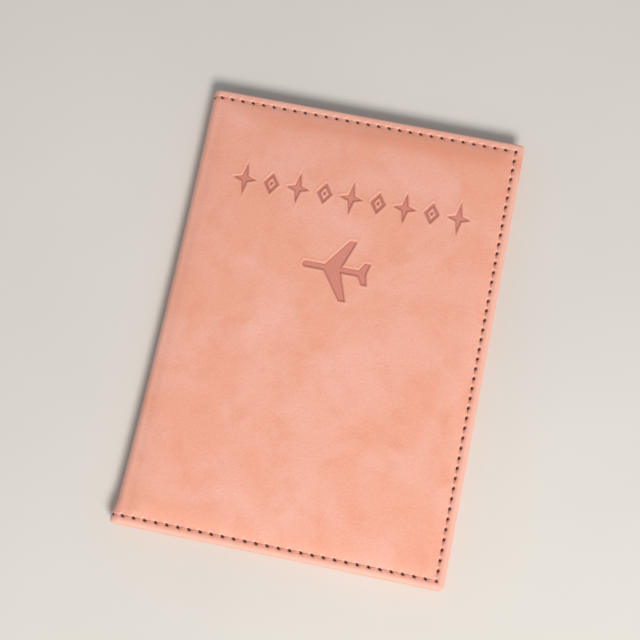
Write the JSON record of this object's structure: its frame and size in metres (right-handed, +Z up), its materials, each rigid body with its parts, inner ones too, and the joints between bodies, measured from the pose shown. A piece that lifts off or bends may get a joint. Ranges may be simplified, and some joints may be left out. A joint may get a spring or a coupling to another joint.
{
  "type": "passport holder",
  "caption": "Padded bifold passport holder with a soft folded spine, card pockets inside the front cover and a passport sleeve inside the back cover.",
  "frame": {"origin": "on the surface that the closed holder lies on, under the middle of its box", "axes": "+X from the spine to the fore-edge, +Y along the spine to the top of the cover, +Z up through the front cover"},
  "size_m": [0.1, 0.14, 0.0084],
  "materials": {
    "outer_leatherette": "matt nubuck-look leatherette, mottled salmon pink",
    "pocket_leatherette": "matt leatherette, salmon pink",
    "lining_cloth": "fine plain-woven polyester",
    "padding_foam": "closed-cell foam sheet",
    "grey_board": "pressed grey board",
    "sewing_thread": "twisted polyester thread"
  },
  "bodies": {
    "back_cover": {"back_cover_skin": "outer_leatherette", "back_foam_pad": "padding_foam", "back_stiffener_board": "grey_board", "back_lining": "lining_cloth", "passport_flap": "pocket_leatherette", "passport_flap_thread": "sewing_thread", "small_pocket": "pocket_leatherette", "small_pocket_thread": "sewing_thread", "back_seam_needle_thread": "sewing_thread", "back_seam_bobbin_thread": "sewing_thread"},
    "spine": {"spine_skin": "outer_leatherette", "spine_lining": "lining_cloth", "spine_seam_thread": "sewing_thread"},
    "front_cover": {"front_cover_skin": "outer_leatherette", "front_foam_pad": "padding_foam", "front_stiffener_board": "grey_board", "front_lining": "lining_cloth", "card_panel": "pocket_leatherette", "card_panel_thread": "sewing_thread", "card_pocket_upper": "pocket_leatherette", "card_pocket_middle": "pocket_leatherette", "card_pocket_lower": "pocket_leatherette", "card_pocket_thread": "sewing_thread", "front_seam_needle_thread": "sewing_thread", "front_seam_bobbin_thread": "sewing_thread"}
  },
  "joints": [
    {"name": "back_fold", "type": "hinge", "parent": "back_cover", "child": "spine", "pos_m": [-0.04944, 0, 0.00146], "axis": [0, -1, 0], "range_deg": [0, 90]},
    {"name": "front_fold", "type": "hinge", "parent": "spine", "child": "front_cover", "pos_m": [-0.04944, 0, 0.00694], "axis": [0, -1, 0], "range_deg": [0, 90]}
  ],
  "couplings": [
    {"joint": "front_fold", "follows": "back_fold", "ratio": 1}
  ]
}
